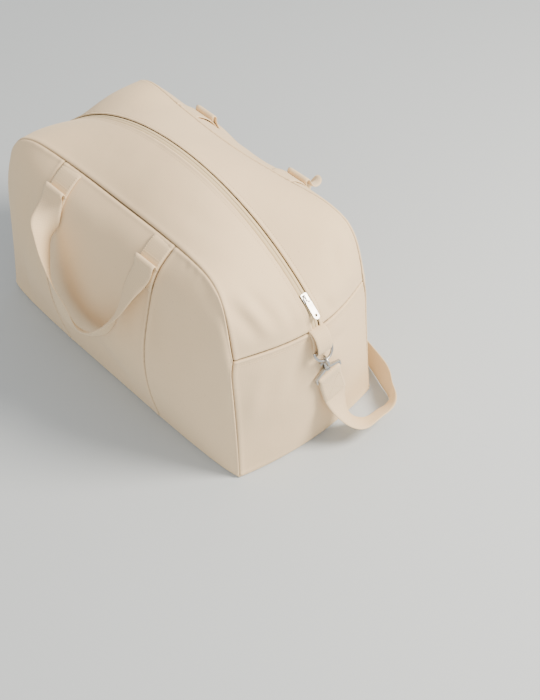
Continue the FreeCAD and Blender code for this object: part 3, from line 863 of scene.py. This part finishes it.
def eased(looks, passes=40):
    """Face directions with their turns spread out evenly along the webbing."""
    looks = looks.copy()
    for _ in range(passes):
        looks[1:-1] = (looks[:-2] + 2 * looks[1:-1] + looks[2:]) / 4
    return unit(looks)


def ribbon_route(route, step=2.5):
    points = np.array([p for p, _ in route], float)
    faces = unit(np.array([f for _, f in route], float))
    length = np.linalg.norm(np.diff(points, axis=0), axis=1).sum()
    places = np.linspace(0, 1, int(length / step))
    steps = np.linalg.norm(np.diff(points, axis=0), axis=1)
    knots = np.concatenate([[0], np.cumsum(steps)]) / steps.sum()
    looks = np.stack([np.interp(places, knots, faces[:, c]) for c in range(3)], axis=1)
    return smooth_line(points, places, knots), eased(looks, 16)


def tab_on_front(name, x, turn):
    """Webbing sewn flat on the centre panel, out of the top seam down to below the fold."""
    points, normals = [], []
    skin = PANELS["front_centre_panel_cloth"][2]
    top = np.interp(x, skin[:, -1, 0], skin[:, -1, 2]) + 0.6
    for z in np.linspace(top, TAB_FOOT_Z, 34):
        p, n = on_panel_at("front_centre_panel_cloth", x, z)
        points.append(p)
        normals.append(n)
    points, normals = np.array(points), unit(np.array(normals))
    normals[:, 0] *= 0.3
    normals = unit(normals)
    tuck = 2.6 * np.exp(-((top - points[:, 2]) / 2.2) ** 2)
    points = points + normals * (WEB_THICK / 2 + 0.25 - tuck[:, None])
    half = WEBBING / 2 - 3
    outer = points + normals * WEB_THICK / 2
    run = np.array([1.0, 0, 0])
    lines = []
    for side in (-half, half):
        lines.append((outer[1:-1] + run * side, normals[1:-1]))
    for row in (-2, 10):
        ends = [outer[row] - run * half, outer[row] + run * half]
        lines.append((np.array(ends), np.array([normals[row]] * 2)))
    if turn:
        points, normals = half_turned(points), half_turned(normals)
        lines = [(half_turned(p), half_turned(n)) for p, n in lines]
    return webbing(name, points, normals, WEBBING), lines


def build_handles():
    folds = [fold_start(HANDLE_HALF_SPAN), fold_start(-HANDLE_HALF_SPAN)]
    route = folds[0] + HANDLE_ROUTE + folds[1][::-1]
    for facing, turn in (("front", False), ("back", True)):
        points, faces = ribbon_route(route)
        if turn:
            points, faces = half_turned(points), half_turned(faces)
        loop = webbing(f"{facing}_handle_webbing", points, faces, WEBBING)
        place(loop, f"{facing}_handle", WEB_CLOTH, "webbing", f"{facing}_handle")
        sewn = []
        for side, x in (("right", HANDLE_HALF_SPAN), ("left", -HANDLE_HALF_SPAN)):
            named = side if not turn else ("left" if side == "right" else "right")
            node = f"{facing}_handle_tab_{named}"
            tab, lines = tab_on_front(node + "_webbing", x, turn)
            place(tab, "root", WEB_CLOTH, "webbing", node)
            sewn += lines
        place(stitches(f"{facing}_handle_stitches", sewn), "root", THREAD, "webbing")


build_handles()

# ---------------------------------------------------------------- ring, snap and strap

RING_PIVOT = np.array([285.5, 0, 181.0])
RING_TILT, CHAIN_TILT, HOOK_YAW = math.radians(25), math.radians(14), math.radians(15)
RING_WIRE, RING_RADIUS = 1.8, 15.0
EYE_X, EYE_Z, EYE_RADIUS, HOOK_WIRE = 5.5, 19.0, 6.7, 1.7
BASE_BAR = -16.0


def tilted(directions):
    """Turned about X as the ring, the snap and the strap hang."""
    c, s = math.cos(CHAIN_TILT), math.sin(CHAIN_TILT)
    return np.asarray(directions, float) @ np.array([[1, 0, 0], [0, c, -s], [0, s, c]]).T


def hung(points):
    """From the snap's own frame (origin at its barrel's foot, +Z up) to where it hangs."""
    grip = np.array([EYE_X * math.cos(HOOK_YAW), -EYE_X * math.sin(HOOK_YAW),
                     EYE_Z + EYE_RADIUS - HOOK_WIRE - RING_WIRE - 0.4])
    wire = RING_PIVOT + (RING_RADIUS * math.sin(RING_TILT), 0, -RING_RADIUS * math.cos(RING_TILT))
    return tilted(np.asarray(points, float) - grip) + wire


def mirrored(points):
    return np.asarray(points, float) * (-1, 1, 1)


def bent_strip(outline, step=1.5):
    """Points and outer faces of a strip bent in the XZ plane, from its (x, z) points."""
    flat = np.array([(x, 0, z) for x, z in outline], float)
    length = np.linalg.norm(np.diff(flat, axis=0), axis=1).sum()
    points = smooth_line(flat, np.linspace(0, 1, int(length / step)))
    tangent = unit(np.gradient(points, axis=0))
    return points, np.cross(tangent, (0, 1, 0))


# the ring tab and the sewn strap end, folded: (x, z) points down their middle
TAB_OUTLINE = [(270.5, 209.5), (277, 208.5), (284.5, 202), (288.6, 192), (289.2, 182), (286.6, 177.6),
               (282.8, 178.6), (281.4, 184), (279.6, 194), (275.8, 203), (271.5, 207.5)]
SEWN_OUTLINE = [(2.2, -57.5), (1.1, -44), (-0.3, -30), (-2.6, -21), (-3.35, -16), (-2.4, -13.6), (0, -12.65),
                (2.4, -13.6), (3.35, -16), (2.9, -21), (2.1, -30), (3.2, -44), (4.3, -61)]
SEWN_FLAP = 0.62  # share of the sewn strip after which it is the outer flap
TAB_WEB_THICK = 1.3


def build_ring_tab(side, flip):
    points, faces = bent_strip(TAB_OUTLINE)
    faces = -faces if faces[len(faces) // 3][0] < 0 else faces
    tab = webbing(f"ring_tab_{side}_webbing", flip(points), flip(faces), TAB_WEBBING, TAB_WEB_THICK)
    place(tab, "root", WEB_CLOTH, "webbing", f"ring_tab_{side}")


def build_sewn_end(side, flip):
    points, faces = bent_strip(SEWN_OUTLINE, 1.2)
    faces = -faces if faces[-5][0] < 0 else faces
    flap = int(len(points) * SEWN_FLAP)
    outer, looks = points[flap:-2] + faces[flap:-2] * WEB_THICK / 2, faces[flap:-2]
    half = WEBBING / 2 - 3.5
    lines = []
    for y in (-half, half):
        lines.append((outer + (0, y, 0), looks))
    last = len(outer) - 1
    for row in (0, last):
        lines.append((np.array([outer[row] - (0, half, 0), outer[row] + (0, half, 0)]), looks[[row, row]]))
    for sign in (-1, 1):
        y = np.linspace(-half, half, len(outer)) * sign
        lines.append((outer + np.stack([y * 0, y, y * 0], axis=1), looks))
    place_in = lambda p: flip(hung(p))
    face_in = lambda f: flip(tilted(f))
    sewn = webbing(f"strap_end_{side}_webbing", place_in(points), face_in(faces), WEBBING)
    place(sewn, f"{side}_ring", WEB_CLOTH, "webbing", f"strap_end_{side}")
    thread = stitches(f"strap_end_{side}_stitches", [(place_in(p), face_in(n)) for p, n in lines])
    place(thread, f"{side}_ring", THREAD, "webbing")
    return sewn, thread


STRAP_START = hung([(0, 0, BASE_BAR - 41.5)])[0] + (2.2, 0, 0)
# near half, from the sewn end to the adjuster: point, direction that the outer face looks
STRAP_ROUTE = [
    (tuple(STRAP_START), (1, 0, 0.05)),
    ((296, 27, 60), (0.74, 0.45, 0.42)),
    ((308, 44, 27), (0.17, 0.75, 0.63)),
    ((313, 74, 19), (-0.66, 0, 0.75)),
    ((312, 103, 19.6), (-0.64, -0.14, 0.75)),
    ((298, 127, 19.8), (-0.6, -0.8, -0.05)),
    ((268, 143, 19.8), (-0.41, -0.88, 0.25)),
    ((225, 156, 19.8), (0, -1, 0.1)),
    ((165, 170, 20), (0, -1, 0)),
    ((105, 168, 20.6), (0, -1, 0)),
    ((55, 176, 21.4), (0, -1, 0)),
    ((24, 175.6, 22), (0, -1, 0)),
    ((12, 175.4, 22), (0, -1, 0)),
    ((7, 168.4, 22), (0, -1, 0)),
    ((0, 168.4, 22), (0, -1, 0)),
]
STRAP_STAYS = 4  # the route's point from which the strap lies with the bag; the strap is not made to follow the ring as it swings


def nurbs_line(points):
    """Points along a NURBS curve through space with these control points."""
    curve = bpy.data.curves.new("route", "CURVE")
    curve.dimensions = "3D"
    line = curve.splines.new("NURBS")
    line.points.add(len(points) - 1)
    for place_at, p in zip(line.points, points):
        place_at.co = (*p, 1)
    line.order_u = 3
    line.use_endpoint_u = True
    line.resolution_u = 16
    obj = bpy.data.objects.new("route", curve)
    bpy.context.scene.collection.objects.link(obj)
    bpy.context.view_layer.update()
    mesh = bpy.data.meshes.new_from_object(obj)
    found = np.array([v.co for v in mesh.vertices])
    bpy.data.objects.remove(obj)
    bpy.data.meshes.remove(mesh)
    return found


def build_strap(side, flip, sewn):
    control = np.array([p for p, _ in STRAP_ROUTE], float)
    looks = unit(np.array([f for _, f in STRAP_ROUTE], float))
    line = nurbs_line(control)
    keep = np.concatenate([[True], np.linalg.norm(np.diff(line, axis=0), axis=1) > 0.05])
    line = line[keep]
    run = np.concatenate([[0], np.cumsum(np.linalg.norm(np.diff(line, axis=0), axis=1))])
    nearest = np.array([run[np.argmin(np.linalg.norm(line - c, axis=1))] for c in control])
    faces = unit(np.stack([np.interp(run, nearest, looks[:, c]) for c in range(3)], axis=1))
    line, faces = flip(line), flip(eased(faces))
    strap = webbing(f"shoulder_strap_{side}_webbing", line, faces, WEBBING)
    wear(strap, WEB_CLOTH)
    start = flip(np.array(STRAP_ROUTE[0][0])) * MM
    end = flip(np.array(STRAP_ROUTE[STRAP_STAYS][0])) * MM
    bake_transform(strap)
    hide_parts(f"shoulder_strap_{side}")
    with_pieces = list(sewn)
    if side == "right":
        with_pieces.append(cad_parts["strap_adjuster"])


def build_ends():
    for side, flip in (("right", lambda p: np.asarray(p, float)), ("left", mirrored)):
        build_ring_tab(side, flip)
        build_strap(side, flip, build_sewn_end(side, flip))


build_ends()

# ---------------------------------------------------------------- floor, light, camera


# name, place in metres, size in metres, watts, colour
LAMPS = (("key", (1.3, 1.0, 1.7), 0.9, 112, "#fff1de"), ("fill", (1.3, -1.4, 1.2), 1.6, 10, "#fff6ea"))
LAMP_AIM = (0.1, 0, 0.12)


def build_stage():
    mesh = bpy.data.meshes.new("floor")
    half = 4.0  # metres
    mesh.from_pydata([(-half, -half, 0), (half, -half, 0), (half, half, 0), (-half, half, 0)], [],
                     [(0, 1, 2, 3)])
    floor = add_object("floor", mesh)
    material, tree = new_material("studio_floor")
    place_at = add_node(tree, "ShaderNodeTexCoord")
    cloud = add_node(tree, "ShaderNodeTexNoise", Vector=(place_at, 3), Scale=0.7, Detail=1.0)
    tone = add_node(tree, "ShaderNodeMix", {"data_type": "RGBA"}, Factor=(cloud, 0),
                    _6=linear("#b3bdc6"), _7=linear("#bdc6ce"))
    shader = add_node(tree, "ShaderNodeBsdfPrincipled", Base_Color=(tone, 2), Roughness=0.75)
    finish_material(tree, shader)
    wear(floor, material)
    world = bpy.data.worlds.new("studio")
    world.use_nodes = True
    background = world.node_tree.nodes["Background"]
    background.inputs["Color"].default_value = linear("#f4f0ea")
    background.inputs["Strength"].default_value = 0.96
    bpy.context.scene.world = world
    for name, where, size, power, colour in LAMPS:
        lamp = bpy.data.lights.new(name, "AREA")
        lamp.shape = "DISK"
        lamp.size = size
        lamp.energy = power
        lamp.color = linear(colour)[:3]
        obj = bpy.data.objects.new(name, lamp)
        obj.location = where
        aim = Vector(LAMP_AIM) - Vector(where)
        obj.rotation_euler = aim.to_track_quat("-Z", "Y").to_euler()
        bpy.context.scene.collection.objects.link(obj)


AZIMUTH, ELEVATION = math.radians(48.131), math.radians(45.042)
AIM = Vector((180.94, 3.03, 100.0)) * MM
DISTANCE = 1922.9 * MM
SENSOR_WIDTH, LENS = 36.0, 73.02


def build_camera():
    back = Vector((math.sin(AZIMUTH) * math.cos(ELEVATION), -math.cos(AZIMUTH) * math.cos(ELEVATION),
                   math.sin(ELEVATION)))
    camera = bpy.data.cameras.new("camera")
    camera.sensor_width = SENSOR_WIDTH
    camera.lens = LENS
    obj = bpy.data.objects.new("camera", camera)
    obj.location = AIM + back * DISTANCE
    obj.rotation_euler = (-back).to_track_quat("-Z", "Y").to_euler()
    bpy.context.scene.collection.objects.link(obj)
    bpy.context.scene.camera = obj


build_stage()
build_camera()

METAL_WORDS = ("d_ring", "hook_", "zip_slider", "zip_pull", "stop", "adjuster")
CAST_NODES = ("zip_slider", "zip_pull", "strap_adjuster", "hook_base_right", "hook_base_left")
WORN_EDGE = 0.25

for node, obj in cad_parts.items():
    if any(word in node for word in METAL_WORDS):
        wear(obj, SPRING if "spring" in node else NICKEL)
    if node in CAST_NODES:
        soft_edge = obj.modifiers.new("worn edge", "BEVEL")
        soft_edge.width = WORN_EDGE * MM
        soft_edge.segments = 2
        soft_edge.limit_method = "ANGLE"
